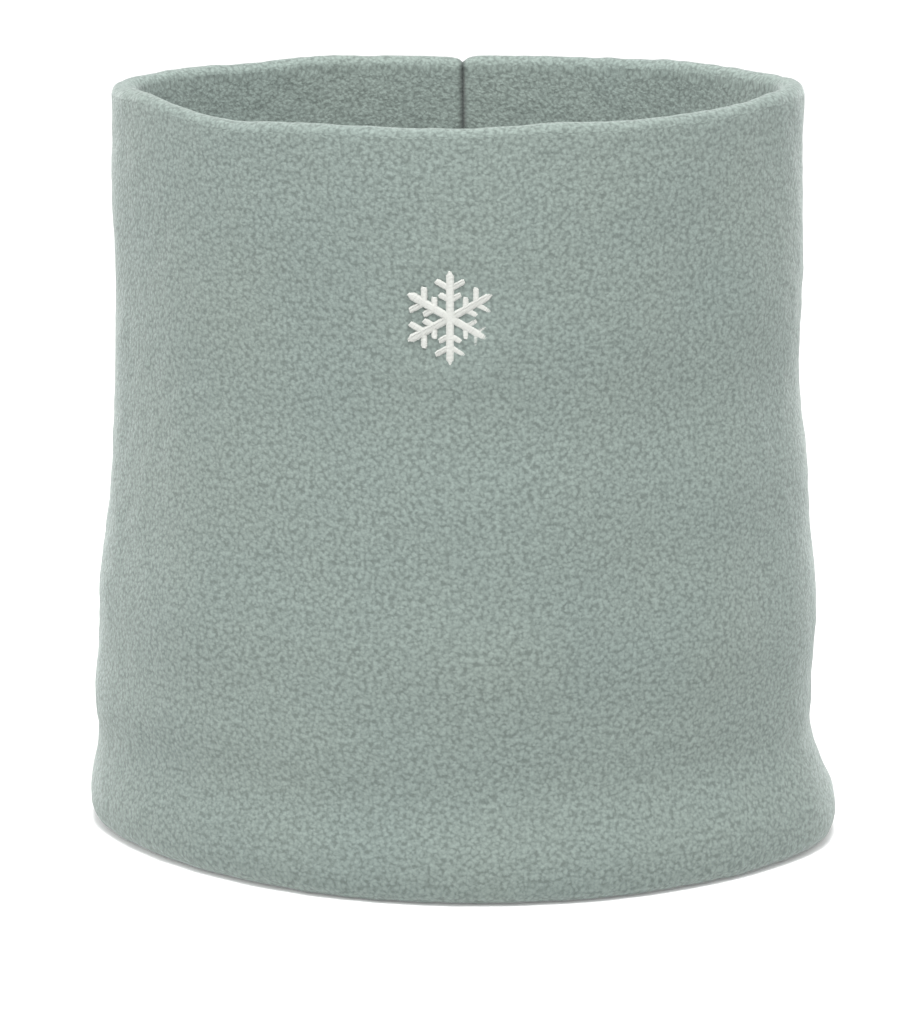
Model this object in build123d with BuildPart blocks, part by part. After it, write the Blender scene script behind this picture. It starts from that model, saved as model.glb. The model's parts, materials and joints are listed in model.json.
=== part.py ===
from build123d import *
from math import asin, atan2, cos, degrees, radians, sin
import os

# Neck gaiter: an open tube of two fleece layers with a rolled rim and a full hem.
# Millimetres. +Z is up, the front faces -Y and +X is to the right of someone looking at it.
# The origin is on the surface that the tube stands on, at the middle of the tube.

# Overall outside sizes
height = 231.5  # from the resting face to the top of the rim
rim_width = 208.0  # left to right at the rim
rim_depth = 146.0  # front to back at the rim
side_radius = 38.0  # bend of the rim's left and right ends, seen from above
section_skew = -7.0  # degrees that the oval is turned from the line through seam and motif
straight_length = 92.0  # how far the wall runs straight down from the rim
belly_height = 76.0  # where the wall stops spreading
belly_spread = 5.8  # how far the wall stands out there, past the rim
hem_height = 30.0  # top of the hem roll
flare_spread = 6.6  # how far the wall stands out just above the hem roll
hem_fullest = 9.0  # height of the fullest part of the hem roll
hem_spread = 12.2  # how far the hem roll stands out, past the rim
hem_swell = 1.5  # how far the hem roll swells into the tube

# Bends of the wall, seen from the side
rim_roll = 2.7
wall_bend = 18.0
crease_bend = 14.0  # crease above the hem roll
hem_roll = 7.0
foot_roll = 5.0  # outside edge of the resting face
foot_inner_roll = 3.0

# Cloth
shell_thickness = 2.0
lining_thickness = 2.0
layer_gap = 1.8  # air and seam allowances between the two layers

# Seams
seam_x = 2.0  # the back seam's distance to the right of the middle
rim_facing = 28.0  # how far the shell reaches down the inside from the rim
hem_facing = 34.0  # how far the shell reaches up the inside from the hem
seam_slot = 0.8  # groove where two edges meet
seam_mouth = 2.4  # its rounded mouth at the cloth's face
seam_mouth_depth = 0.7
allowance_width = 8.0
allowance_thickness = 0.8  # pressed flat

# Thread
thread = 0.45
thread_depth = 1.1  # how deep the seam threads lie in their groove
stitch_pitch = 3.0
closing_stitch = 3.4  # length of each closing stitch, across the lining's seam
closing_length = 80.0
closing_below_join = 24.0  # from the rim join down to the first closing stitch

# Embroidered motif: a six-armed snow crystal
motif_x = -2.8
motif_below_rim = 56.0  # from the rim down to its centre
motif_radius = 14.0
arm_width = 2.4
arm_tip = 1.6  # length of an arm's point
barb_width = 1.8
inner_barb_place = 5.2  # from the centre to where the inner barbs leave an arm
inner_barb_length = 2.8
outer_barb_place = 8.6
outer_barb_length = 4.0
barb_angle = 60.0
satin_height = 0.7
lower_thread_margin = 0.3  # the lower thread is this much smaller all round
lower_thread_thickness = 0.25
backing_width = 36.0
backing_height = 38.0
backing_corner = 3.0
backing_thickness = 0.3
backing_ease = 0.05

# Care label: a ribbon folded in two, with both ends in the lining's back seam
label_low = 62.0  # height of its lower edge
label_height = 30.0
label_length = 36.0
label_leaf = 0.25
label_thickness = 1.2  # both leaves and the space between them
label_stem = 3.0  # where the leaves lie together, next to the seam
label_ease = 0.4  # between the stem and the lining
label_lean = 4.0  # degrees that it stands off the wall at rest

# Worked out from the sizes above
wall = shell_thickness + layer_gap + lining_thickness
straight_low = height - straight_length
rim_join = height - rim_facing
hem_join = hem_facing
half_width = rim_width / 2
half_depth = rim_depth / 2
long_radius = ((half_width - side_radius) ** 2 + half_depth**2 - side_radius**2) / (
    2 * (half_depth - side_radius)
)  # bend of the front and the back, tangent to the side bends
side_x, end_y = half_width - side_radius, long_radius - half_depth  # centres of the bends
bend_turn = degrees(atan2(end_y, side_x))  # where a side bend meets a long bend
reach = half_width + hem_spread + 20  # past every wall
motif_z = height - motif_below_rim
os.makedirs("parts", exist_ok=True)

# The wall's outline, as (spread past the rim's outside, height, bend)
OUTLINE = (
    (hem_spread, 0, foot_roll),
    (hem_spread, hem_fullest, hem_roll),
    (flare_spread, hem_height, crease_bend),
    (belly_spread, belly_height, wall_bend),
    (0, straight_low, wall_bend),
    (0, height, rim_roll),
    (-wall, height, rim_roll),
    (-wall, straight_low, wall_bend),
    (belly_spread - wall, belly_height, wall_bend),
    (flare_spread - wall, hem_height, crease_bend),
    (flare_spread - wall - hem_swell, hem_fullest, hem_roll),
    (flare_spread - wall - hem_swell, 0, foot_inner_roll),
)
# The line half way through the wall, which parts the outer layer from the inner one
MIDDLE = (
    (-wall / 2, height),
    (-wall / 2, straight_low),
    (belly_spread - wall / 2, belly_height),
    (flare_spread - wall / 2, hem_height),
    (flare_spread - wall / 2, 0),
)

# The rim's outside edge from above, as (centre x, centre y, radius, start and turn in degrees)
ARCS = {
    "right": (side_x, 0, side_radius, -bend_turn, 2 * bend_turn),
    "back": (0, -end_y, long_radius, bend_turn, 180 - 2 * bend_turn),
    "left": (-side_x, 0, side_radius, 180 - bend_turn, 2 * bend_turn),
    "front": (0, end_y, long_radius, 180 + bend_turn, 180 - 2 * bend_turn),
}


def outline(inset):
    """The wall's outline, moved into the cloth by the inset."""
    with BuildSketch() as face:
        with BuildLine():
            FilletPolyline(
                *[(spread, z) for spread, z, bend in OUTLINE],
                radius=[bend for spread, z, bend in OUTLINE],
                close=True,
            )
        make_face()
        if inset:
            offset(amount=-inset)
    return face.sketch


def layer(near, far, low, high, side):
    """Strip of the wall between two depths and two heights, on the outside or the inside."""
    edge = reach if side == "outside" else -reach
    near_face, far_face = outline(near), outline(far)
    with BuildSketch() as face:
        add(near_face)
        add(far_face, mode=Mode.SUBTRACT)
        Polygon(
            (edge, high + reach),
            (MIDDLE[0][0], high + reach),
            *MIDDLE,
            (MIDDLE[-1][0], -reach),
            (edge, -reach),
            align=None,
            mode=Mode.INTERSECT,
        )
        with Locations((0, (low + high) / 2)):
            Rectangle(2 * reach, high - low, mode=Mode.INTERSECT)
    return face.sketch


def tube(profile, sides=("right", "back", "left", "front")):
    """Carry a profile round the oval, or along some of the four arcs that make it."""
    skew = radians(section_skew)
    with BuildPart() as ring:
        for side in sides:
            x, y, radius, start, sweep = ARCS[side]
            centre = (x * cos(skew) - y * sin(skew), x * sin(skew) + y * cos(skew), 0)
            out = radians(start + section_skew)
            plane = Plane(origin=centre, x_dir=(cos(out), sin(out), 0), z_dir=(sin(out), -cos(out), 0))
            with BuildSketch(plane):
                with Locations((radius, 0)):
                    add(profile)
            revolve(axis=Axis(centre, (0, 0, 1)), revolution_arc=sweep)
    return ring.part


def back_block(width, low, high):
    """Upright block behind the tube's middle, centred on the back seam."""
    with BuildPart(Plane.XY.offset(low)) as block:
        with Locations((seam_x, reach / 2, 0)):
            Box(width, reach, high - low, align=(Align.CENTER, Align.CENTER, Align.MIN))
    return block.part


def rungs(low, high, length):
    """Rows of short cross-wise blocks up the back seam, one for each stitch."""
    count = int((high - low) / stitch_pitch)
    first = (low + high) / 2 - (count - 1) * stitch_pitch / 2
    with BuildPart() as blocks:
        with Locations([(seam_x, reach / 2, first + step * stitch_pitch) for step in range(count)]):
            Box(length, reach, thread)
    return blocks.part


def seam_groove(near_side, low, high):
    """The groove of the back seam with its wider mouth, on one face of the wall."""
    slot = back_block(seam_slot, -reach, height + reach)
    mouth = back_block(seam_mouth, low - 1, high + 1)
    skin = tube(layer(-1, seam_mouth_depth, low - 1, high + 1, near_side), ("back",))
    with BuildPart() as groove:
        add(mouth)
        add(skin, mode=Mode.INTERSECT)
        add(slot)
    return groove.part


def snow_crystal(margin):
    """Face of the motif, smaller all round by the margin, standing in the front view."""
    with BuildSketch(Plane.XZ) as face:
        with Locations((motif_x, motif_z)):
            with PolarLocations(0, 6, start_angle=30):
                Polygon(
                    (0, -arm_width / 2),
                    (motif_radius - arm_tip, -arm_width / 2),
                    (motif_radius, 0),
                    (motif_radius - arm_tip, arm_width / 2),
                    (0, arm_width / 2),
                    align=None,
                )
                for place, length in (
                    (inner_barb_place, inner_barb_length),
                    (outer_barb_place, outer_barb_length),
                ):
                    for angle in (barb_angle, -barb_angle):
                        with Locations(Location((place, 0), angle)):
                            SlotCenterPoint((0, 0), (length, 0), barb_width)
        if margin:
            offset(amount=-margin)
    return face.sketch


def save(piece, name):
    """Label a finished piece and write its STEP file."""
    piece.part.label = name
    export_step(piece.part, f"parts/{name}.step")


# Outer shell: the outside wall, the rolled rim and hem, and the two facings inside.
# The panel's edges are folded back at both joins and pressed open at the back seam.
shell_folded = shell_thickness + allowance_thickness
shell_outline, shell_hollow = outline(0), outline(shell_thickness)
lining_room = layer(-1, shell_thickness, hem_join, rim_join, "inside")
rim_fold = layer(shell_thickness, shell_folded, rim_join, rim_join + allowance_width, "inside")
hem_fold = layer(shell_thickness, shell_folded, hem_join - allowance_width, hem_join, "inside")
with BuildSketch() as shell_profile:
    add(shell_outline)
    add(shell_hollow, mode=Mode.SUBTRACT)
    add(lining_room, mode=Mode.SUBTRACT)
    add(rim_fold)
    add(hem_fold)
shell_tube = tube(shell_profile.sketch)
shell_fold = layer(shell_thickness, shell_folded, foot_roll, height - rim_roll, "outside")
shell_skin = tube(shell_fold, ("back",))
shell_allowances = back_block(2 * allowance_width, foot_roll, height - rim_roll) & shell_skin
shell_groove = seam_groove("outside", 0, height)
with BuildPart() as outer_shell:
    add(shell_tube)
    add(shell_allowances)
    add(shell_groove, mode=Mode.SUBTRACT)
save(outer_shell, "outer_shell")

# Lining: a plain tube that ends one seam slot short of each facing.
lining_low = hem_join + seam_slot
lining_high = rim_join - seam_slot
lining_folded = lining_thickness + allowance_thickness
lining_wall = layer(0, lining_thickness, lining_low, lining_high, "inside")
low_fold = layer(lining_thickness, lining_folded, lining_low, lining_low + allowance_width, "inside")
high_fold = layer(lining_thickness, lining_folded, lining_high - allowance_width, lining_high, "inside")
with BuildSketch() as lining_profile:
    add(lining_wall)
    add(low_fold)
    add(high_fold)
lining_tube = tube(lining_profile.sketch)
lining_fold = layer(lining_thickness, lining_folded, lining_low, lining_high, "inside")
lining_skin = tube(lining_fold, ("back",))
lining_allowances = back_block(2 * allowance_width, lining_low, lining_high) & lining_skin
lining_groove = seam_groove("inside", lining_low, lining_high)
with BuildPart() as lining:
    add(lining_tube)
    add(lining_allowances)
    add(lining_groove, mode=Mode.SUBTRACT)
save(lining, "lining")

# Back seam threads: a thread up the groove with a rung across it for each stitch.
for name, side, low, high in (
    ("shell_back_seam_thread", "outside", foot_roll, height - rim_roll),
    ("lining_back_seam_thread", "inside", lining_low, lining_high),
):
    back_line, back_rungs = back_block(thread, low, high), rungs(low, high, seam_slot)
    back_skin = tube(layer(thread_depth, thread_depth + thread, low, high, side), ("back",))
    with BuildPart() as back_seam_thread:
        add(back_line)
        add(back_rungs)
        add(back_skin, mode=Mode.INTERSECT)
    save(back_seam_thread, name)

# Join threads: an overlocked chain that fills the slot of each horizontal seam.
seam_gap = back_block(seam_slot, 0, height)
for name, low in (("rim_join_thread", lining_high), ("hem_join_thread", hem_join)):
    chain = tube(layer(thread_depth, thread_depth + thread, low, low + seam_slot, "inside"))
    with BuildPart() as join_thread:
        add(chain)
        add(seam_gap, mode=Mode.SUBTRACT)
    save(join_thread, name)

# Closing stitches: the short row that shuts the gap the tube was turned through.
closing_high = lining_high - closing_below_join
closing_low = closing_high - closing_length
closing_rungs = rungs(closing_low, closing_high, closing_stitch)
closing_skin = tube(layer(-thread, 0, closing_low - 1, closing_high + 1, "inside"), ("back",))
with BuildPart() as closing_stitches:
    add(closing_rungs)
    add(closing_skin, mode=Mode.INTERSECT)
save(closing_stitches, "closing_stitches")

# Embroidery: satin on the front, its lower thread behind the stabiliser patch.
motif_low = motif_z - motif_radius - 1
motif_high = motif_z + motif_radius + 1
backing_near = shell_thickness + backing_ease
backing_far = backing_near + backing_thickness
lower_far = backing_far + lower_thread_thickness
for name, margin, near, far in (
    ("motif_stitches", 0, -satin_height, 0),
    ("motif_lower_stitches", lower_thread_margin, backing_far, lower_far),
):
    crystal = snow_crystal(margin)
    crystal_skin = tube(layer(near, far, motif_low, motif_high, "outside"), ("front",))
    with BuildPart() as stitches:
        extrude(crystal, amount=reach)
        add(crystal_skin, mode=Mode.INTERSECT)
    save(stitches, name)

backing_low = motif_z - backing_height / 2 - 1
backing_high = motif_z + backing_height / 2 + 1
backing_skin = tube(layer(backing_near, backing_far, backing_low, backing_high, "outside"), ("front",))
with BuildPart() as motif_backing:
    with BuildSketch(Plane.XZ):
        with Locations((motif_x, motif_z)):
            RectangleRounded(backing_width, backing_height, backing_corner)
    extrude(amount=reach)
    add(backing_skin, mode=Mode.INTERSECT)
save(motif_backing, "motif_backing")

# Care label: both leaves lie together in the stem, then part round an open fold.
label_high = label_low + label_height
wall_slope = belly_spread / (straight_low - belly_height)
label_wall = half_depth - wall + wall_slope * max(straight_low - label_high, 0)
hinge_y = label_wall - label_ease - label_leaf
chord_lean = degrees(asin(label_length / (2 * (long_radius - wall))))
label_rest = chord_lean - section_skew + label_lean  # degrees from the X axis
label_plane = Plane(
    origin=(seam_x, hinge_y, label_low),
    x_dir=(cos(radians(label_rest)), -sin(radians(label_rest)), 0),
    z_dir=(0, 0, 1),
)
with BuildPart() as care_label:
    with BuildSketch(label_plane):
        with Locations(((label_stem + label_length) / 2, 0)):
            SlotOverall(label_length - label_stem, label_thickness)
            SlotOverall(
                label_length - label_stem - 2 * label_leaf,
                label_thickness - 2 * label_leaf,
                mode=Mode.SUBTRACT,
            )
        with Locations((label_stem / 2, 0)):
            SlotOverall(label_stem + 3 * label_leaf, 2 * label_leaf)
    extrude(amount=label_height)
save(care_label, "care_label")
print(f"care label hinge at {seam_x:.3f}, {hinge_y:.3f}")
print(f"care label rests at {label_rest:.2f} degrees, long radius {long_radius:.1f}")
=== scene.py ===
import json
from math import pi, radians
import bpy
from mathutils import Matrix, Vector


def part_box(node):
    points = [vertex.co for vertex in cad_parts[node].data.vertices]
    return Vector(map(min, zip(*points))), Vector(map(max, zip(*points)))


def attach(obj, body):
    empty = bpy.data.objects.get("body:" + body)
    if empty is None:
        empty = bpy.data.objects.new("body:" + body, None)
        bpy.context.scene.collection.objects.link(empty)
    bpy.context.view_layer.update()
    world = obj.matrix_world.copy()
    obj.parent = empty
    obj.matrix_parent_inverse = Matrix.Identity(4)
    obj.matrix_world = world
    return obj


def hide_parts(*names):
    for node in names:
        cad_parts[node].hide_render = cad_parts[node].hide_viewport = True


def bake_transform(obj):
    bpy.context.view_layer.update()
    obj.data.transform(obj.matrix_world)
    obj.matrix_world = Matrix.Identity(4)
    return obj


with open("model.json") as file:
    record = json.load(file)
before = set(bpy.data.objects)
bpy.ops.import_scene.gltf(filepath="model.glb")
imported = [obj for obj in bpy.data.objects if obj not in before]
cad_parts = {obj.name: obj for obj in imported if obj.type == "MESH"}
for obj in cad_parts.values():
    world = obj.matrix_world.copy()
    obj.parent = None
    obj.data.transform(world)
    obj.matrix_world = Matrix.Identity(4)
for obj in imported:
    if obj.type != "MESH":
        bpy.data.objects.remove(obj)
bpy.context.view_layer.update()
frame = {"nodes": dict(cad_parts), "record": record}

from types import SimpleNamespace

import bpy
import numpy as np

bl_info = {
    "name": "Fleece Neck Gaiter",
    "version": (1, 0, 0),
    "blender": (4, 5, 0),
    "location": "View3D > Sidebar > Gaiter",
    "description": "Builds the cloth, seams, embroidery and label of a fleece neck gaiter",
    "category": "Object",
}

MM = 0.001
SHELL_LOW, SHELL_HIGH = (np.array(corner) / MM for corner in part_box("outer_shell"))
LINING_LOW, LINING_HIGH = (np.array(corner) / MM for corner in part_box("lining"))
MOTIF_LOW, MOTIF_HIGH = (np.array(corner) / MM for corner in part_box("motif_stitches"))
CLOSING_LOW, CLOSING_HIGH = (np.array(corner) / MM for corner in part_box("closing_stitches"))
HINGE = np.array(frame["record"]["behaviour"]["joints"][0]["pos_m"]) / MM
LABEL_LOW, LABEL_HIGH = (np.array(corner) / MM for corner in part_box("care_label"))


# ---------------------------------------------------------------- settings


def length_setting(name, description, millimetres):
    """Length property, kept in metres."""
    return bpy.props.FloatProperty(
        name=name, description=description, default=millimetres * MM, unit="LENGTH", precision=5
    )


class GaiterSizes(bpy.types.PropertyGroup):
    """Sizes of the gaiter."""

    height: length_setting("Height", "From the resting face to the top of the rim", SHELL_HIGH[2])
    rim_width: length_setting("Rim width", "Left to right", 208.0)
    rim_depth: length_setting("Rim depth", "Front to back", 146.0)
    side_radius: length_setting("Side bend", "Bend of the rim's ends seen from above", 38.0)
    wall: length_setting("Wall", "Both layers and their gap", 5.8)
    cloth: length_setting("Cloth", "Thickness of one layer", 2.0)
    seam_x: length_setting("Seam", "The back seam's place", HINGE[0])
    thread: length_setting("Thread", "Diameter of the thread", 0.45)
    relief: length_setting("Relief", "Height of the cloth's soft waves", 0.30)
    satin_height: length_setting("Satin height", "How far the embroidery stands out", 0.8)
    skew: bpy.props.FloatProperty(
        name="Skew", description="How far the oval is turned", default=radians(-7), unit="ROTATION"
    )


class GaiterColours(bpy.types.PropertyGroup):
    """Colours of the gaiter's cloth, threads and ribbon."""

    fleece: bpy.props.FloatVectorProperty(
        name="Fleece", description="The pile's main colour", subtype="COLOR", size=3,
        default=(0.148, 0.178, 0.164), min=0, max=1,
    )
    satin: bpy.props.FloatVectorProperty(
        name="Satin thread", description="The embroidery's colour", subtype="COLOR", size=3,
        default=(0.42, 0.43, 0.405), min=0, max=1,
    )
    thread: bpy.props.FloatVectorProperty(
        name="Seam thread", description="The seams' colour", subtype="COLOR", size=3,
        default=(0.12, 0.15, 0.135), min=0, max=1,
    )
    ribbon: bpy.props.FloatVectorProperty(
        name="Label ribbon", description="The care label's colour", subtype="COLOR", size=3,
        default=(0.50, 0.50, 0.48), min=0, max=1,
    )
    inside_lift: bpy.props.FloatProperty(
        name="Inside lift", subtype="FACTOR", default=0.24, min=0, max=1,
        description="How much lighter the cloth is painted where it faces into the tube, to make up "
                    "for missing light there; 0 gives one colour throughout",
    )


def sizes():
    """The sizes in millimetres, with the skew in radians."""
    group = bpy.context.scene.gaiter_sizes
    lengths = {name: getattr(group, name) / MM for name in GaiterSizes.__annotations__ if name != "skew"}
    return SimpleNamespace(skew=group.skew, **lengths)


def colours():
    """The colours of the scene in use."""
    return bpy.context.scene.gaiter_colours


# ---------------------------------------------------------------- shape of the tube

# How far the wall stands out past the rim's oval, as (height, spread), down each end
RIGHT_WALL = (
    (0, 10.6), (7, 11.8), (14, 11.2), (22, 8.3), (32, 5.1), (50, 4.5), (68, 5.8),
    (100, 3.4), (120, 2.3), (142, -0.5), (170, 0.4), (200, 0.0), (232, 0.2),
)
LEFT_WALL = (
    (0, 10.9), (6, 12.2), (14, 11.6), (26, 9.9), (38, 10.7), (57, 9.0), (77, 8.2),
    (95, 5.7), (120, 3.2), (145, 1.8), (180, 1.1), (210, 1.4), (232, 0.9),
)
# The wall's inside, the same all round
INNER_WALL = ((0, -0.7), (10, -0.7), (30, 0.8), (76, 0.0), (139.5, -5.2), (170, -5.8), (232, -5.8))
# Rises and dips of the rim, as (front or back, distance to the right, rise, width)
RIM_WAVES = (
    ("front", -66, -1.7, 13), ("front", -94, 1.4, 9), ("front", 26, 0.8, 14), ("front", 92, 1.2, 9),
    ("back", -42, 1.0, 16), ("back", -84, 0.7, 12), ("back", 74, 0.5, 20),
)
# Shallow folds down the front, as (distance to the right of the motif, rise, width, lean)
FRONT_FOLDS = (
    (-44, -1.1, 24, 0.05), (16, 0.9, 26, 0.0), (62, -1.1, 17, 0.22), (86, 0.8, 14, 0.10),
    (-82, 0.7, 18, 0.0),
)
FOLD_MIDDLE = 115  # height at which a leaning fold has its stated place
# The crease above the hem, and where it is deeper, as (distance to the motif, depth, width)
CREASE_HEIGHT, CREASE_DEPTH, CREASE_REACH = 35, 0.3, 8.0
DEEPER_CREASES = ((-72, 0.9, 46), (92, 0.7, 36))
SWELL_HEIGHT, SWELL, SWELL_REACH = 14, 0.6, 9.0  # fullness of the hem
RIM_SADDLE, RIM_TILT = 1.0, 1.4  # ends above the front and back, right end above the left
RIM_DROP = 0.4  # middle of the rim's rises below the stated height
FRONT_BLEND = 4.0  # distance over which the rim's front shape gives way to its back shape
LEAN = 1.5  # how much further right the hem's middle is than the rim's
NOTCH, NOTCH_LEFT, NOTCH_RIGHT = 0.9, 9.0, 3.0  # dip of the rim at the back seam, and its reach
NOTCH_CUT, NOTCH_CUT_REACH = 0.3, 1.0  # narrow cut in the middle of the dip
NOTCH_FADE = 26  # how far below the rim the dip fades out
ROLL, ROLL_REACH = 2.0, 0.9  # how the cloth's edge turns in at the back seam
SLOPE, SLOPE_REACH = 0.3, 3.2  # and how the cloth leans towards the turn
RIM_ZONE, RIM_HOLD = 7, 0.55  # stretch below the rim, and share of the turn it loses there
TUCK, TUCK_REACH = 0.8, 1.2  # how far the panel's ends sink under the joins
CREVICE_REACH, CREVICE_SHADE = 0.8, 0.4  # painted shade beside the back seam
HEM_ROLL = 6.5  # height of the hem's rounded underside
STITCH = 3.0  # length of one seam stitch
# The embroidered crystal: barbs as (distance from the middle, length), and half widths
BARBS, BARB_ANGLE = ((5.2, 2.8), (8.6, 4.0)), radians(60)
BARB_HALF, ARM_HALF, ARM_POINT = 0.9, 1.2, 1.7
SATIN_PITCH, SATIN_RADIUS = 0.40, 0.22
# The care label: folded length, ribbon, sewn stem, tail in the seam, and its lean to the front
LABEL_LENGTH, RIBBON, LABEL_STEM, LABEL_TAIL = 36.0, 0.24, 3.0, 2.4
LABEL_LEAN = radians(20.25)
LEAF_SHUT, LEAF_OPEN, LEAF_RUN = 0.15, 0.48, 9  # half gap between leaves, sewn and open
LABEL_BOW, LABEL_CURL, LABEL_FOLD = 0.35, 0.25, 0.5


def bell(distance, reach):
    """Gaussian: 1 at no distance, falling off over the reach."""
    return np.exp(-((distance / reach) ** 2))


def smooth_curve(points, at):
    """Cubic through (place, value) points whose slope at each point is its neighbours' chord."""
    x, y = np.array(points, float).T
    slope = np.gradient(y, x)
    k = np.clip(np.searchsorted(x, at, side="right") - 1, 0, len(x) - 2)
    span = x[k + 1] - x[k]
    t = np.clip((at - x[k]) / span, 0, 1)
    a, b = y[k] * (1 + 2 * t) * (1 - t) ** 2, y[k + 1] * t * t * (3 - 2 * t)
    return a + b + span * (slope[k] * t * (1 - t) ** 2 - slope[k + 1] * t * t * (1 - t))


class Oval:
    """The rim's outside edge from above: four arcs that meet smoothly, turned by the skew.

    A place on it is given by the angle of its outward normal. The point there is the
    arc's centre plus the arc's radius, and any spread, along that normal.
    """

    def __init__(self):
        s = sizes()
        self.half_width, self.half_depth, self.side = s.rim_width / 2, s.rim_depth / 2, s.side_radius
        run = self.half_width - self.side
        self.long = (run**2 + self.half_depth**2 - self.side**2) / (2 * (self.half_depth - self.side))
        self.turn = np.arctan2(self.long - self.half_depth, run)
        self.skew = s.skew
        steps = np.linspace(0, 2 * pi, 7201)
        bend = np.where(np.abs(np.sin(steps)) < np.sin(self.turn), self.side, self.long)
        along = np.concatenate([[0], np.cumsum((bend[1:] + bend[:-1]) / 2 * np.diff(steps))])
        self.steps, self.along, self.length = steps, along, along[-1]

    def place(self, angle, spread):
        """Points, turned into the frame, at normal angles and spreads."""
        c, s = np.cos(angle), np.sin(angle)
        at_side = np.abs(s) < np.sin(self.turn)
        x = np.where(at_side, np.sign(c) * (self.half_width - self.side) + (self.side + spread) * c,
                     (self.long + spread) * c)
        y = np.where(at_side, (self.side + spread) * s,
                     (self.long + spread) * s - np.sign(s) * (self.long - self.half_depth))
        cs, sn = np.cos(self.skew), np.sin(self.skew)
        return x * cs - y * sn, x * sn + y * cs

    def angle_at(self, distance):
        """Normal angle at a distance along the oval from its right end, anticlockwise."""
        return np.interp(np.mod(distance, self.length), self.along, self.steps)

    def distance_at(self, angle):
        """Distance along the oval from its right end, at a normal angle."""
        return np.interp(np.mod(angle, 2 * pi), self.steps, self.along)

    def seam_distance(self):
        """Distance along the oval of the back seam, where x is the seam's own."""
        angle = np.linspace(pi / 2 - 0.5, pi / 2 + 0.5, 4001)
        x = self.place(angle, 0 * angle)[0]
        return float(self.distance_at(np.interp(-sizes().seam_x, -x, angle)))


def outer_spread(angle, z):
    """Outside wall: each end's curve, blended by how far right or left the normal points."""
    right = (1 + np.cos(angle)) / 2
    mix = right * right * (3 - 2 * right)
    return mix * smooth_curve(RIGHT_WALL, z) + (1 - mix) * smooth_curve(LEFT_WALL, z)


def inner_spread(angle, z):
    """Inside wall: one curve all round, moved by half of what the outside differs."""
    hem = np.clip((z - 20) / 40, 0, 1)
    middle = (smooth_curve(RIGHT_WALL, z) + smooth_curve(LEFT_WALL, z)) / 2
    return smooth_curve(INNER_WALL, z) + hem * (outer_spread(angle, z) - middle)


def soft_waves(rng, along, z, count, shortest, longest):
    """Sum of cosines of random direction, length and phase over the unrolled cloth."""
    total = np.zeros(np.broadcast(along, z).shape)
    for _ in range(count):
        length = np.exp(rng.uniform(np.log(shortest), np.log(longest)))
        heading, phase = rng.uniform(0, pi), rng.uniform(0, 2 * pi)
        k = 2 * pi / length
        total += np.cos(k * (along * np.cos(heading) + z * np.sin(heading)) + phase) * length / longest
    return total / np.sqrt(count)


def rim_rise(x, front):
    """Height of the rim over the level: Gaussian rises and dips along the front and back."""
    rise = np.zeros_like(x)
    for side, centre, amount, width in RIM_WAVES:
        on_side = front if side == "front" else 1 - front
        rise += on_side * amount * bell(x - centre, width)
    return rise


def seam_dip(x, front):
    """The rim's notch at the back seam: a slow slope on the left and a quick one on the right."""
    d = x - sizes().seam_x
    slope = np.where(d < 0, bell(d, NOTCH_LEFT), bell(d, NOTCH_RIGHT))
    return -(1 - front) * (NOTCH * slope + NOTCH_CUT * bell(d, NOTCH_CUT_REACH))


def settle(angle, spread, z, height):
    """Wall coordinates to the frame: lean, rim saddle, tilt, waves and the seam's notch."""
    oval = Oval()
    x, y = oval.place(angle, spread)
    front = 1 / (1 + np.exp(y / FRONT_BLEND))
    near_rim = np.clip((z - height * 0.6) / (height * 0.4), 0, 1) ** 2
    very_near = np.clip((z - height + NOTCH_FADE) / NOTCH_FADE, 0, 1) ** 2
    level = RIM_SADDLE * np.cos(2 * (angle + oval.skew)) + RIM_TILT * np.cos(angle + oval.skew)
    z = z + near_rim * (level - RIM_DROP + rim_rise(x, front)) + very_near * seam_dip(x, front)
    x = x + LEAN * (0.5 - z / height)
    return x, y, z


# ---------------------------------------------------------------- meshes


def put_mesh(name, points, faces):
    """Smooth mesh object at the origin from points in millimetres and faces of any size."""
    mesh = bpy.data.meshes.new(name)
    mesh.from_pydata((np.asarray(points, float) * MM).tolist(), [], faces)
    mesh.validate()
    mesh.update()
    mesh.polygons.foreach_set("use_smooth", np.full(len(mesh.polygons), True))
    obj = bpy.data.objects.new(name, mesh)
    bpy.context.scene.collection.objects.link(obj)
    return obj


def loop_quads(rows, columns):
    """Quads between neighbouring points of closed loops, stored one loop after another."""
    r, c = np.meshgrid(np.arange(rows - 1), np.arange(columns), indexing="ij")
    r2, c2 = r + 1, (c + 1) % columns
    quads = np.stack([r * columns + c, r2 * columns + c, r2 * columns + c2, r * columns + c2], -1)
    return quads.reshape(-1, 4).tolist()


def end_caps(rows, columns):
    """The first and the last loop as faces, both facing out."""
    return [list(range(columns)), list(range(rows * columns - 1, (rows - 1) * columns - 1, -1))]


def seam_spacing(seam, length, wide, close, reach=6.0):
    """Distances along the oval from seam to seam, close together at both ends."""
    near = np.linspace(0, 1, close)[:-1] ** 1.5 * reach
    middle = np.linspace(reach, length - reach, wide)
    return seam + np.concatenate([near, middle, length - near[::-1]])


def edge_roll(distance, seam, length):
    """How far the cloth sinks where its edge turns in at the back seam."""
    gap = np.minimum(distance - seam, seam + length - distance)
    return ROLL * np.exp(-((gap / ROLL_REACH) ** 1.5)) + SLOPE * bell(gap, SLOPE_REACH)


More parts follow.
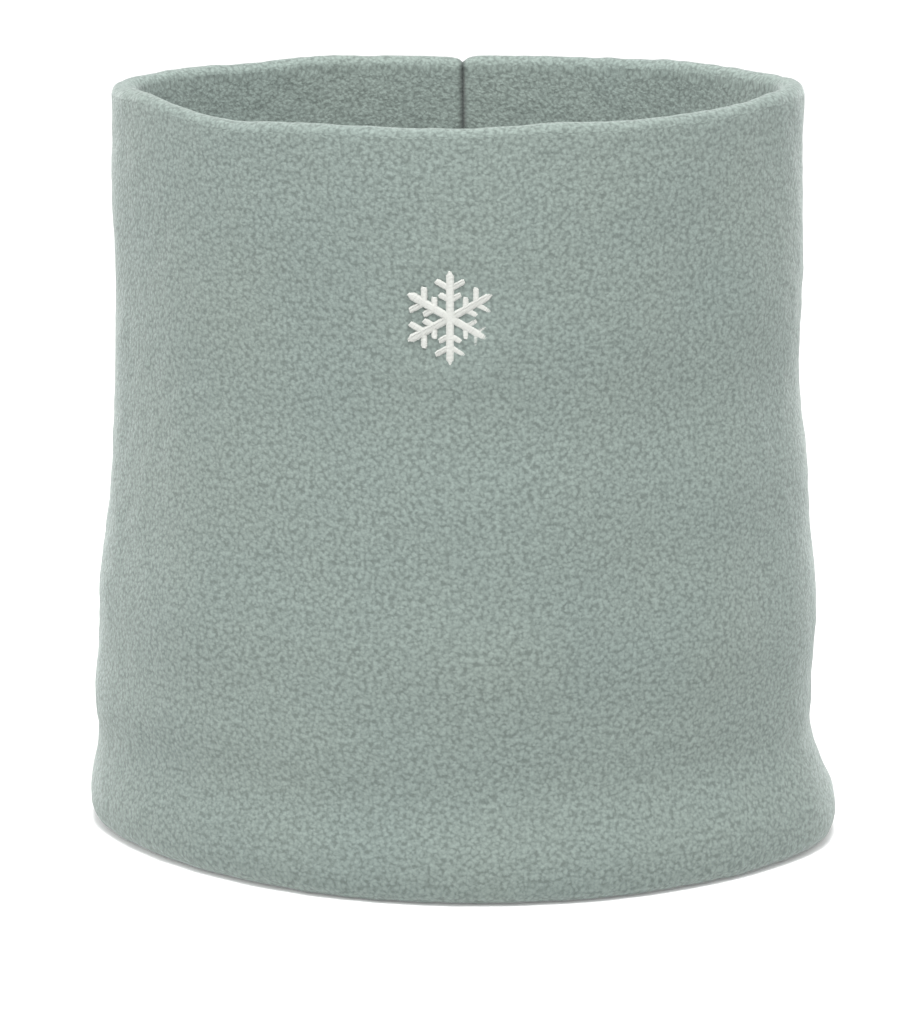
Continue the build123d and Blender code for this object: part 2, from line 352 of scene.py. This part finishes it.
def cloth_ring(name, path, distances, thickness, relief, height, seam, every=2):
    """Thick strip of cloth carried round the oval from one side of the back seam to the other.

    path(angle) gives the spread and height of the cloth's face along its profile. The back
    of the cloth lies one thickness behind the face, along the profile's own normal. Face
    and back make one closed loop at each angle, and the two end loops are capped.
    """
    oval = Oval()
    angle = oval.angle_at(distances)[:, None]
    spread, z = path(angle)
    ds, dz = np.gradient(spread, axis=1), np.gradient(z, axis=1)
    size = np.hypot(ds, dz) + 1e-9
    out_s, out_z = -dz / size, ds / size
    on_rim = np.clip((z - height + RIM_ZONE) / RIM_ZONE, 0, 1)
    sink = edge_roll(distances, seam, oval.length)[:, None] * (1 - RIM_HOLD * on_rim)
    run = np.cumsum(size[:1], axis=1)  # distance up the profile, taken at the first angle
    hidden = bell(np.minimum(run - run[:, :1], run[:, -1:] - run), TUCK_REACH)
    lift = relief(distances[:, None], z, np.clip(out_s, 0, 1)) - sink - TUCK * hidden
    face_s, face_z = spread + out_s * lift, np.maximum(z + out_z * lift, 0)
    back = slice(None, None, -every)
    depth = thickness + 0.6 * sink
    back_s, back_z = (spread - out_s * depth)[:, back], (z - out_z * depth)[:, back]
    all_s, all_z = np.concatenate([face_s, back_s], 1), np.concatenate([face_z, back_z], 1)
    settled = settle(np.broadcast_to(angle, all_s.shape), all_s, all_z, height)
    points = np.stack(settled, -1).reshape(-1, 3)
    cloth = put_mesh(name, points, loop_quads(*all_s.shape) + end_caps(*all_s.shape))
    along = np.broadcast_to(distances[:, None], all_s.shape)
    climb = np.concatenate([run, run[:, back]], 1)
    flat = np.stack([along, np.broadcast_to(climb, all_s.shape), 0 * along], -1) * MM
    place = cloth.data.attributes.new("cloth_place", "FLOAT_VECTOR", "POINT")
    place.data.foreach_set("vector", flat.ravel().astype(np.float32))
    # Painted shade: a mask that darkens the cloth's colour beside the back seam
    gap = np.minimum(distances - distances.min(), distances.max() - distances)
    crevice = np.broadcast_to(bell(gap, CREVICE_REACH)[:, None], all_s.shape)
    # Painted light: a mask that lightens the colour where the cloth faces into the tube
    facing = np.clip(-out_s, 0, 1)
    inward = np.concatenate([facing, facing[:, back]], 1)
    for label, values in (("crevice", crevice), ("inward", inward)):
        attribute = cloth.data.attributes.new(label, "FLOAT", "POINT")
        attribute.data.foreach_set("value", values.ravel().astype(np.float32))
    return cloth


def put_tubes(name, paths, radius, sides=6):
    """One object of many round tubes with capped ends, one for each row of paths.

    Each path is a row of points. The ring at a point is a circle in the plane of two
    directions square to the path there: one level with the ground, one square to both.
    """
    p = np.asarray(paths, float)
    count, steps, _ = p.shape
    forward = np.gradient(p, axis=1)
    forward /= np.linalg.norm(forward, axis=2, keepdims=True) + 1e-12
    guide = np.where(np.abs(forward[..., 2:3]) > 0.9, [0, 1.0, 0], [0, 0, 1.0])
    side = np.cross(forward, guide)
    side /= np.linalg.norm(side, axis=2, keepdims=True) + 1e-12
    up = np.cross(side, forward)
    turn = np.linspace(0, 2 * pi, sides, endpoint=False)[:, None]
    rings = p[:, :, None] + radius * (np.cos(turn) * side[:, :, None] + np.sin(turn) * up[:, :, None])
    one = np.array(loop_quads(steps, sides))
    starts = np.arange(count) * steps * sides
    quads = (one[None] + starts[:, None, None]).reshape(-1, 4).tolist()
    low = (np.arange(sides)[None] + starts[:, None]).tolist()
    high = (np.arange(steps * sides - 1, (steps - 1) * sides - 1, -1)[None] + starts[:, None]).tolist()
    return put_mesh(name, rings.reshape(-1, 3), quads + low + high)


def wall_angle(x, back):
    """Normal angle of the front or back wall at a distance to the right of the middle."""
    middle = pi / 2 if back else 3 * pi / 2
    angle = np.linspace(middle - 1, middle + 1, 4001)
    across = Oval().place(angle, 0 * angle)[0]
    order = np.argsort(across)
    return np.interp(x, across[order], angle[order])


def wall_point(x, z, back, face, lift):
    """Points of the frame above one face of the front or back wall, at x and height z."""
    height = sizes().height
    angle = wall_angle(x - LEAN * (0.5 - z / height), back)
    return np.stack(settle(angle, face(angle, z) + lift, z, height), -1)


def ride_for(obj, node):
    """Let an object move with the gaiter and stand for a CAD node, which is hidden."""
    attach(obj, "gaiter")
    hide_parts(node)
    return obj


# ---------------------------------------------------------------- materials


def node_tree(name):
    """New material with its node tree and its main shader."""
    material = bpy.data.materials.new(name)
    material.use_nodes = True
    tree = material.node_tree
    return material, tree, tree.nodes["Principled BSDF"]


def add(tree, kind, inputs=(), **settings):
    """New node, with each input linked to a socket or set to a value."""
    node = tree.nodes.new(kind)
    for key, value in settings.items():
        setattr(node, key, value)
    for key, value in dict(inputs).items():
        if isinstance(value, bpy.types.NodeSocket):
            tree.links.new(value, node.inputs[key])
        else:
            node.inputs[key].default_value = value
    return node


def ramp(tree, factor, stops):
    """Colour from a factor, through (position, colour) stops."""
    node = add(tree, "ShaderNodeValToRGB", {"Fac": factor})
    elements = node.color_ramp.elements
    for index, (position, colour) in enumerate(stops):
        element = elements[index] if index < 2 else elements.new(position)
        element.position, element.color = position, (*colour, 1)
    return node.outputs["Color"]


def shade(colour, amount):
    """The colour made darker or lighter by a factor."""
    return tuple(min(1.0, c * amount) for c in colour)


def fleece_material(name, colour):
    """Brushed fleece: small round clumps of pile with darker gaps, fibre noise and sheen.

    Shades painted in that are not the cloth's own: lighter where the cloth faces into the tube, by the
    inside lift, and darker beside the back seam.
    The clumps' darker gaps and lighter tops are the pile's own mottle with painted shade and painted
    light added.
    """
    material, tree, shader = node_tree(name)
    place = add(tree, "ShaderNodeTexCoord").outputs["Object"]
    flat = add(tree, "ShaderNodeAttribute", attribute_name="cloth_place").outputs["Vector"]
    crevice = add(tree, "ShaderNodeAttribute", attribute_name="crevice").outputs["Fac"]
    drift = add(tree, "ShaderNodeTexNoise", {"Vector": flat, "Scale": 600.0, "Detail": 2.0})
    bent = add(tree, "ShaderNodeMix", {"Factor": 0.0016, 6: flat, 7: drift.outputs["Color"]},
               data_type="RGBA", blend_type="ADD")
    clumps = add(tree, "ShaderNodeTexVoronoi",
                 {"Vector": bent.outputs[2], "Scale": 760.0, "Smoothness": 0.35},
                 feature="SMOOTH_F1", voronoi_dimensions="2D")
    finer = add(tree, "ShaderNodeTexNoise",
                {"Vector": flat, "Scale": 640.0, "Detail": 3.0, "Roughness": 0.6})
    hairs = add(tree, "ShaderNodeTexNoise",
                {"Vector": place, "Scale": 2600.0, "Detail": 3.0, "Roughness": 0.7})
    patches = add(tree, "ShaderNodeTexNoise",
                  {"Vector": place, "Scale": 22.0, "Detail": 3.0, "Roughness": 0.55})
    tops = add(tree, "ShaderNodeMapRange",
               {"Value": clumps.outputs["Distance"], "From Min": 0.62, "From Max": 0.10},
               interpolation_type="SMOOTHSTEP")
    mixed = add(tree, "ShaderNodeMix", {"Factor": 0.82, 2: tops.outputs[0], 3: finer.outputs["Fac"]})
    # Darker gaps and lighter tops of the clumps: the pile's own mottle with painted shade in the gaps
    # and painted light on the tops
    pile = ramp(tree, mixed.outputs[0], (
        (0.32, shade(colour, 0.68)), (0.70, shade(colour, 1.24)), (0.50, shade(colour, 1.0)),
    ))
    wash = ramp(tree, patches.outputs["Fac"], ((0.3, (0.95, 0.965, 0.97)), (0.7, (1.0, 1.0, 0.99))))
    tinted = add(tree, "ShaderNodeMix", {"Factor": 1.0, 6: pile, 7: wash},
                 data_type="RGBA", blend_type="MULTIPLY")
    # Painted light: the colour lifted by the inside lift where the cloth faces into the tube
    inward = add(tree, "ShaderNodeAttribute", attribute_name="inward").outputs["Fac"]
    lift = add(tree, "ShaderNodeMath", {0: inward, 1: colours().inside_lift, 2: 1.0},
               operation="MULTIPLY_ADD")
    lifted = add(tree, "ShaderNodeVectorMath", {0: tinted.outputs[2], "Scale": lift.outputs[0]},
                 operation="SCALE")
    # Painted shade: the colour darkened beside the back seam by the crevice mask
    seamed = add(tree, "ShaderNodeMix",
                 {"Factor": crevice, 6: lifted.outputs[0], 7: (*shade(colour, CREVICE_SHADE), 1)},
                 data_type="RGBA")
    tree.links.new(seamed.outputs[2], shader.inputs["Base Color"])
    height = add(tree, "ShaderNodeMath", {0: hairs.outputs["Fac"], 1: 0.14, 2: mixed.outputs[0]},
                 operation="MULTIPLY_ADD")
    bump = add(tree, "ShaderNodeBump",
               {"Strength": 0.38, "Distance": 0.0010, "Height": height.outputs[0]})
    tree.links.new(bump.outputs["Normal"], shader.inputs["Normal"])
    shader.inputs["Roughness"].default_value = 0.95
    shader.inputs["Specular IOR Level"].default_value = 0.12
    shader.inputs["Sheen Weight"].default_value = 0.44
    shader.inputs["Sheen Roughness"].default_value = 0.45
    shader.inputs["Sheen Tint"].default_value = (0.86, 0.92, 0.90, 1)
    return material


def thread_material(name, colour, roughness):
    """Twisted filament thread: fine bands of light and dark with a soft gloss."""
    material, tree, shader = node_tree(name)
    place = add(tree, "ShaderNodeTexCoord").outputs["Object"]
    fibres = add(tree, "ShaderNodeTexNoise",
                 {"Vector": place, "Scale": 2600.0, "Detail": 3.0, "Roughness": 0.6})
    broad = add(tree, "ShaderNodeTexNoise", {"Vector": place, "Scale": 160.0, "Detail": 2.0})
    both = add(tree, "ShaderNodeMix",
               {"Factor": 0.35, 2: fibres.outputs["Fac"], 3: broad.outputs["Fac"]})
    band = ramp(tree, both.outputs[0], ((0.3, shade(colour, 0.86)), (0.7, shade(colour, 1.05))))
    tree.links.new(band, shader.inputs["Base Color"])
    bump = add(tree, "ShaderNodeBump",
               {"Strength": 0.4, "Distance": 0.00015, "Height": fibres.outputs["Fac"]})
    tree.links.new(bump.outputs["Normal"], shader.inputs["Normal"])
    shader.inputs["Roughness"].default_value = roughness
    shader.inputs["Sheen Weight"].default_value = 0.2
    return material


def ribbon_material(name, colour):
    """Satin ribbon: crossed fine waves for the weave, a slight cloudiness and a soft gloss."""
    material, tree, shader = node_tree(name)
    place = add(tree, "ShaderNodeTexCoord").outputs["Object"]
    warp = add(tree, "ShaderNodeTexWave", {"Vector": place, "Scale": 900.0, "Distortion": 0.6},
               bands_direction="Z")
    weft = add(tree, "ShaderNodeTexWave", {"Vector": place, "Scale": 1300.0, "Distortion": 0.5},
               bands_direction="X")
    weave = add(tree, "ShaderNodeMix",
                {"Factor": 0.5, 2: warp.outputs["Fac"], 3: weft.outputs["Fac"]})
    cloud = add(tree, "ShaderNodeTexNoise", {"Vector": place, "Scale": 120.0, "Detail": 3.0})
    both = add(tree, "ShaderNodeMix",
               {"Factor": 0.4, 2: weave.outputs[0], 3: cloud.outputs["Fac"]})
    tone = ramp(tree, both.outputs[0], ((0.2, shade(colour, 0.90)), (0.8, shade(colour, 1.04))))
    tree.links.new(tone, shader.inputs["Base Color"])
    bump = add(tree, "ShaderNodeBump",
               {"Strength": 0.3, "Distance": 0.0001, "Height": weave.outputs[0]})
    tree.links.new(bump.outputs["Normal"], shader.inputs["Normal"])
    shader.inputs["Roughness"].default_value = 0.42
    shader.inputs["Sheen Weight"].default_value = 0.1
    return material


# ---------------------------------------------------------------- pieces


def rolled_path(joins, face_steps):
    """Profile of the shell's face: up the rim facing, over the rim, down the outside,
    round the hem and up the hem facing. The rim is a half circle, and the hem a flattened
    one with rounded ends.
    """
    height, roll = sizes().height, sizes().wall / 2
    rim_join, hem_join = joins
    facing = rim_join + (height - roll - rim_join) * np.linspace(0, 1, 18, endpoint=False) ** 1.6
    over = np.linspace(0, pi, 15, endpoint=False)
    down = np.linspace(height - roll, HEM_ROLL, face_steps, endpoint=False)
    under = np.linspace(0, pi, 20, endpoint=False)
    up = hem_join - (hem_join - HEM_ROLL) * np.linspace(1, 0, 18) ** 1.6
    foot_side = (1 - np.sign(np.cos(under)) * np.abs(np.cos(under)) ** 0.75) / 2
    z = np.concatenate([
        facing, height - roll + roll * np.sin(over), down,
        HEM_ROLL * (1 - np.sin(under) ** 0.6), up,
    ])
    inner = np.concatenate([
        np.ones_like(facing), (1 + np.cos(over)) / 2, np.zeros_like(down), foot_side,
        np.ones_like(up),
    ])

    def path(angle):
        level = np.minimum(z, height - roll)[None, :]
        outside, inside = outer_spread(angle, level), inner_spread(angle, level)
        spread = outside + (inside - outside) * inner[None, :]
        return spread, np.broadcast_to(z[None, :], spread.shape).copy()

    return path


def straight_path(low, high, steps):
    """Profile of the lining's face: up the inside wall from one join to the other."""
    z = np.linspace(low, high, steps)

    def path(angle):
        spread = inner_spread(angle, z[None, :])
        return spread, np.broadcast_to(z[None, :], spread.shape).copy()

    return path


def rebuild(name):
    """Remove an earlier object of the same name, so that a piece can be made again."""
    old = bpy.data.objects.get(name)
    if old is not None:
        bpy.data.objects.remove(old, do_unlink=True)


class GAITER_OT_shell(bpy.types.Operator):
    """Make the outer fleece panel with its rolled rim, hem and facings"""

    bl_idname = "gaiter.shell"
    bl_label = "Outer shell"

    def execute(self, context):
        s, oval = sizes(), Oval()
        rebuild("shell_cloth")
        seam = oval.seam_distance()
        rng = np.random.default_rng(11)
        joins = (LINING_HIGH[2] + 0.6, LINING_LOW[2] - 0.6)

        middle = (MOTIF_LOW + MOTIF_HIGH) / 2
        motif = oval.distance_at(wall_angle(middle[0], False))

        def relief(along, z, outside):
            """Waves over the cloth, flat under the embroidery, and the crease above the hem."""
            waves = soft_waves(rng, along, z, 26, 14.0, 60.0)
            waves = waves + 0.5 * soft_waves(rng, along, z, 40, 5.0, 12.0)
            apart = np.mod(along - motif + oval.length / 2, oval.length) - oval.length / 2
            away = np.hypot(apart, z - middle[2])
            pressed = outside * np.exp(-((away / 15.5) ** 6))
            puffed = outside * bell(away - 19.0, 4.0)
            deep = CREASE_DEPTH + sum(
                depth * bell(apart - centre, width) for centre, depth, width in DEEPER_CREASES
            )
            crease = outside * deep * bell(z - CREASE_HEIGHT, CREASE_REACH)
            swell = outside * SWELL * bell(z - SWELL_HEIGHT, SWELL_REACH)
            tall = outside * np.clip((z - 38) / 40, 0, 1) * np.clip((s.height - 12 - z) / 50, 0, 1)
            folds = sum(
                rise * bell(apart - centre - slope * (z - FOLD_MIDDLE), width)
                for centre, rise, width, slope in FRONT_FOLDS
            )
            shape = swell - crease + tall * folds - 0.5 * pressed + 0.25 * puffed
            return s.relief * waves * (1 - pressed) + shape

        path = rolled_path(joins, 112)
        distances = seam_spacing(seam, oval.length, 345, 16)[::-1]
        shell = cloth_ring("shell_cloth", path, distances, s.cloth, relief, s.height, seam)
        shell.data.materials.append(fleece_material("sage_fleece", colours().fleece))
        ride_for(shell, "outer_shell")
        return {"FINISHED"}


class GAITER_OT_lining(bpy.types.Operator):
    """Make the inner fleece tube between the two facings"""

    bl_idname = "gaiter.lining"
    bl_label = "Lining"

    def execute(self, context):
        s, oval = sizes(), Oval()
        rebuild("lining_cloth")
        seam = oval.seam_distance()
        rng = np.random.default_rng(23)

        def relief(along, z, outside):
            """Slightly lower waves than the shell's, on both sides."""
            return 0.8 * s.relief * soft_waves(rng, along, z, 24, 8.0, 50.0)

        path = straight_path(LINING_LOW[2], LINING_HIGH[2], 110)
        distances = seam_spacing(seam, oval.length, 260, 14)[::-1]
        lining = cloth_ring("lining_cloth", path, distances, s.cloth, relief, s.height, seam)
        tone = shade(colours().fleece, 0.98)
        lining.data.materials.append(fleece_material("sage_fleece_lining", tone))
        ride_for(lining, "lining")
        return {"FINISHED"}


class GAITER_OT_seams(bpy.types.Operator):
    """Make the threads of the two joins, the back seams and the closing stitches"""

    bl_idname = "gaiter.seams"
    bl_label = "Seam threads"

    def execute(self, context):
        s, oval = sizes(), Oval()
        seam, radius = oval.seam_distance(), s.thread / 2
        material = thread_material("seam_thread", colours().thread, 0.6)
        for name, z in (
            ("rim_join_thread", LINING_HIGH[2] + 0.3),
            ("hem_join_thread", LINING_LOW[2] - 0.3),
        ):
            rebuild(name + "_chain")
            along = np.arange(seam + 0.8, seam + oval.length - 0.8, STITCH / 4)
            angle = oval.angle_at(along)
            level = z + 0.3 * np.sin(2 * pi * along / STITCH)
            route = settle(angle, inner_spread(angle, level) + 0.25, level, s.height)
            chain = put_tubes(name + "_chain", np.stack(route, -1)[None], radius)
            chain.data.materials.append(material)
            ride_for(chain, name)
        for name, face, depth, low, high in (
            ("shell_back_seam_thread", outer_spread, -1.3, 6.0, s.height - 4.5),
            ("lining_back_seam_thread", inner_spread, 1.3, LINING_LOW[2], LINING_HIGH[2]),
        ):
            rebuild(name + "_chain")
            z = np.arange(low, high, STITCH / 4)
            x = s.seam_x + 0.12 * np.sin(2 * pi * z / STITCH)
            chain = put_tubes(name + "_chain", wall_point(x, z, True, face, depth)[None], radius)
            chain.data.materials.append(material)
            ride_for(chain, name)
        rebuild("closing_whip_stitches")
        low, high = CLOSING_LOW[2] + radius, CLOSING_HIGH[2] - radius
        place = np.linspace(low, high, round((high - low) / STITCH) + 1)[:, None]
        over = np.linspace(-1, 1, 9)[None]
        reach = (CLOSING_HIGH[0] - CLOSING_LOW[0]) / 2
        x = s.seam_x + reach * over + 0 * place
        rise = 0.55 * (1 - over**2) - 0.40
        stitches = put_tubes("closing_whip_stitches",
                             wall_point(x, place + 0.5 * over, True, inner_spread, -rise), radius)
        stitches.data.materials.append(material)
        ride_for(stitches, "closing_stitches")
        return {"FINISHED"}


def crystal_strokes():
    """The snow crystal's strokes from the motif's middle: start, direction, length, width, point."""
    radius = (MOTIF_HIGH[2] - MOTIF_LOW[2]) / 2
    strokes = []
    for arm in range(6):
        heading = radians(30 + 60 * arm)
        out = np.array([np.cos(heading), np.sin(heading)])
        for place, length in BARBS:
            for turn in (BARB_ANGLE, -BARB_ANGLE):
                way = np.array([np.cos(heading + turn), np.sin(heading + turn)])
                strokes.append((out * place + way * BARB_HALF, way, length, BARB_HALF, False))
        strokes.append((np.zeros(2), out, radius, ARM_HALF, True))
    return strokes


class GAITER_OT_motif(bpy.types.Operator):
    """Embroider the snow crystal in satin strands that lie across each stroke"""

    bl_idname = "gaiter.motif"
    bl_label = "Embroidered motif"

    def execute(self, context):
        s = sizes()
        rebuild("motif_satin")
        rng = np.random.default_rng(5)
        middle = (MOTIF_LOW + MOTIF_HIGH) / 2
        over = np.linspace(-1, 1, 9)
        paths = []
        for start, way, length, half, pointed in crystal_strokes():
            t = np.arange(0.1, length - 0.1, SATIN_PITCH)
            if pointed:
                width = np.minimum(half, (length - t) * half / ARM_POINT + 0.12)
            else:
                past = np.clip(t - length + half, 0, None) / half
                width = half * np.sqrt(np.clip(1 - past**2, 0.04, 1))
            width = (width + rng.uniform(-0.05, 0.05, len(t)))[:, None]
            slant = 0.12 * over + rng.uniform(-0.03, 0.03, (len(t), 1))
            flat = start + (t[:, None, None] + slant[..., None]) * way
            flat = flat + (over * width)[..., None] * np.array([-way[1], way[0]])
            top = s.satin_height - (0.5 if pointed else 0.62)
            lift = top - 0.8 + 0.8 * np.clip(1 - over**4, 0, 1) ** 0.5 + 0 * width
            paths.append(wall_point(middle[0] + flat[..., 0], middle[2] + flat[..., 1], False,
                                    outer_spread, lift))
        satin = put_tubes("motif_satin", np.concatenate(paths), SATIN_RADIUS)
        satin.data.materials.append(thread_material("satin_thread", colours().satin, 0.38))
        ride_for(satin, "motif_stitches")
        for node, tone in (("motif_backing", 0.9), ("motif_lower_stitches", 1.0)):
            kept = frame["nodes"][node]
            kept.data.materials.clear()
            kept.data.materials.append(
                thread_material(node + "_cloth", shade(colours().satin, tone), 0.7)
            )
            first = np.zeros(len(kept.data.polygons), np.int32)
            kept.data.polygons.foreach_set("material_index", first)
        return {"FINISHED"}


class GAITER_OT_label(bpy.types.Operator):
    """Fold the blank care label out of one ribbon whose ends go into the lining's back seam"""

    bl_idname = "gaiter.label"
    bl_label = "Care label"

    def execute(self, context):
        rebuild("label_ribbon")
        way = np.array([np.cos(LABEL_LEAN), -np.sin(LABEL_LEAN)])
        square = np.array([-way[1], way[0]])
        reach = LABEL_LENGTH - LABEL_FOLD
        out = np.concatenate([
            np.linspace(-LABEL_TAIL, LABEL_STEM, 14, endpoint=False),
            np.linspace(LABEL_STEM, reach, 34),
        ])
        opening = np.clip((out - LABEL_STEM) / LEAF_RUN, 0, 1)
        apart = LEAF_SHUT + (LEAF_OPEN - LEAF_SHUT) * opening * opening * (3 - 2 * opening)
        fold = np.linspace(pi / 2, -pi / 2, 13)[1:-1]
        along = np.concatenate([out, reach + LABEL_FOLD * np.cos(fold), out[::-1]])
        aside = np.concatenate([apart, LEAF_OPEN * np.sin(fold), -apart[::-1]])
        tail = np.clip(-along, 0, None)[:, None] * np.array([0.0, 1.0])
        share = np.clip(along / LABEL_LENGTH, 0, 1)
        sideways = aside - LABEL_BOW * np.sin(pi * share)
        centre = HINGE[:2] + np.clip(along, 0, None)[:, None] * way + sideways[:, None] * square + tail
        run = np.gradient(centre, axis=0)
        run /= np.linalg.norm(run, axis=1, keepdims=True)
        normal = np.stack([-run[:, 1], run[:, 0]], -1)
        z = np.linspace(LABEL_LOW[2], LABEL_HIGH[2], 16)
        curl = LABEL_CURL * np.sin(pi * (z - z[0]) / (z[-1] - z[0]))
        tip = share[:, None] ** 2 * curl[None]

        def leaf(offset):
            """One face of the ribbon: the centre line, moved along its normal, at each height."""
            flat = centre[:, None] + offset * normal[:, None] + tip[..., None] * square
            return np.concatenate([flat, np.broadcast_to(z[None, :, None], (*flat.shape[:2], 1))], -1)

        ring = np.concatenate([leaf(RIBBON / 2), leaf(-RIBBON / 2)[:, ::-1]], 1)
        grid = ring.shape[:2]
        label = put_mesh("label_ribbon", ring.reshape(-1, 3), loop_quads(*grid) + end_caps(*grid))
        label.data.materials.append(ribbon_material("care_ribbon", colours().ribbon))
        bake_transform(label)
        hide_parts("care_label")
        return {"FINISHED"}


class GAITER_OT_stage(bpy.types.Operator):
    """Lay the floor and set the lights and the camera"""

    bl_idname = "gaiter.stage"
    bl_label = "Stage"

    def execute(self, context):
        scene = bpy.context.scene
        bpy.ops.mesh.primitive_plane_add(size=12)
        floor = bpy.context.object
        floor.name = "floor"
        material, _, shader = node_tree("pale_floor")
        shader.inputs["Base Color"].default_value = (0.93, 0.93, 0.93, 1)
        shader.inputs["Roughness"].default_value = 0.9
        shader.inputs["Emission Color"].default_value = (1, 1, 1, 1)
        shader.inputs["Emission Strength"].default_value = 0.12
        floor.data.materials.append(material)
        world = scene.world or bpy.data.worlds.new("studio")
        scene.world = world
        world.use_nodes = True
        world.node_tree.nodes["Background"].inputs["Color"].default_value = (1, 1, 1, 1)
        world.node_tree.nodes["Background"].inputs["Strength"].default_value = 1.0
        scene.view_settings.view_transform = "Standard"
        # name, place, turn in degrees, side in metres, power in watts
        for name, place, turn, size, power in (
            ("key_light", (-1.5, -0.6, 0.8), (66, 0, -68), 0.7, 4),
            ("tube_light", (0.0, -0.38, 1.0), (23, 0, 0), 0.45, 15),
        ):
            light = bpy.data.lights.new(name, "AREA")
            light.energy, light.size = power, size
            lamp = bpy.data.objects.new(name, light)
            lamp.location = place
            lamp.rotation_euler = [radians(angle) for angle in turn]
            scene.collection.objects.link(lamp)
        camera = bpy.data.cameras.new("camera")
        camera.lens, camera.sensor_width = 165.0, 36.0
        viewer = bpy.data.objects.new("camera", camera)
        viewer.location = (-0.0017, -1.400, 0.4471)
        viewer.rotation_euler = (radians(90 - 13.95), 0, 0)
        scene.collection.objects.link(viewer)
        scene.camera = viewer
        return {"FINISHED"}


class GAITER_PT_panel(bpy.types.Panel):
    """The gaiter's operators in the order they are used"""

    bl_label = "Neck gaiter"
    bl_idname = "GAITER_PT_panel"
    bl_space_type = "VIEW_3D"
    bl_region_type = "UI"
    bl_category = "Gaiter"

    def draw(self, context):
        for operator in OPERATORS:
            self.layout.operator(operator.bl_idname)


OPERATORS = (
    GAITER_OT_stage, GAITER_OT_shell, GAITER_OT_lining, GAITER_OT_seams, GAITER_OT_motif,
    GAITER_OT_label,
)
CLASSES = (GaiterSizes, GaiterColours, *OPERATORS, GAITER_PT_panel)


def register():
    """Register the classes and hang the settings on the scene."""
    for item in CLASSES:
        bpy.utils.register_class(item)
    bpy.types.Scene.gaiter_sizes = bpy.props.PointerProperty(type=GaiterSizes)
    bpy.types.Scene.gaiter_colours = bpy.props.PointerProperty(type=GaiterColours)


def unregister():
    """Undo register."""
    del bpy.types.Scene.gaiter_sizes
    del bpy.types.Scene.gaiter_colours
    for item in reversed(CLASSES):
        bpy.utils.unregister_class(item)


def main():
    """Build every piece in order."""
    register()
    for operator in OPERATORS:
        group, action = operator.bl_idname.split(".")
        getattr(getattr(bpy.ops, group), action)()


if __name__ == "__main__":
    main()
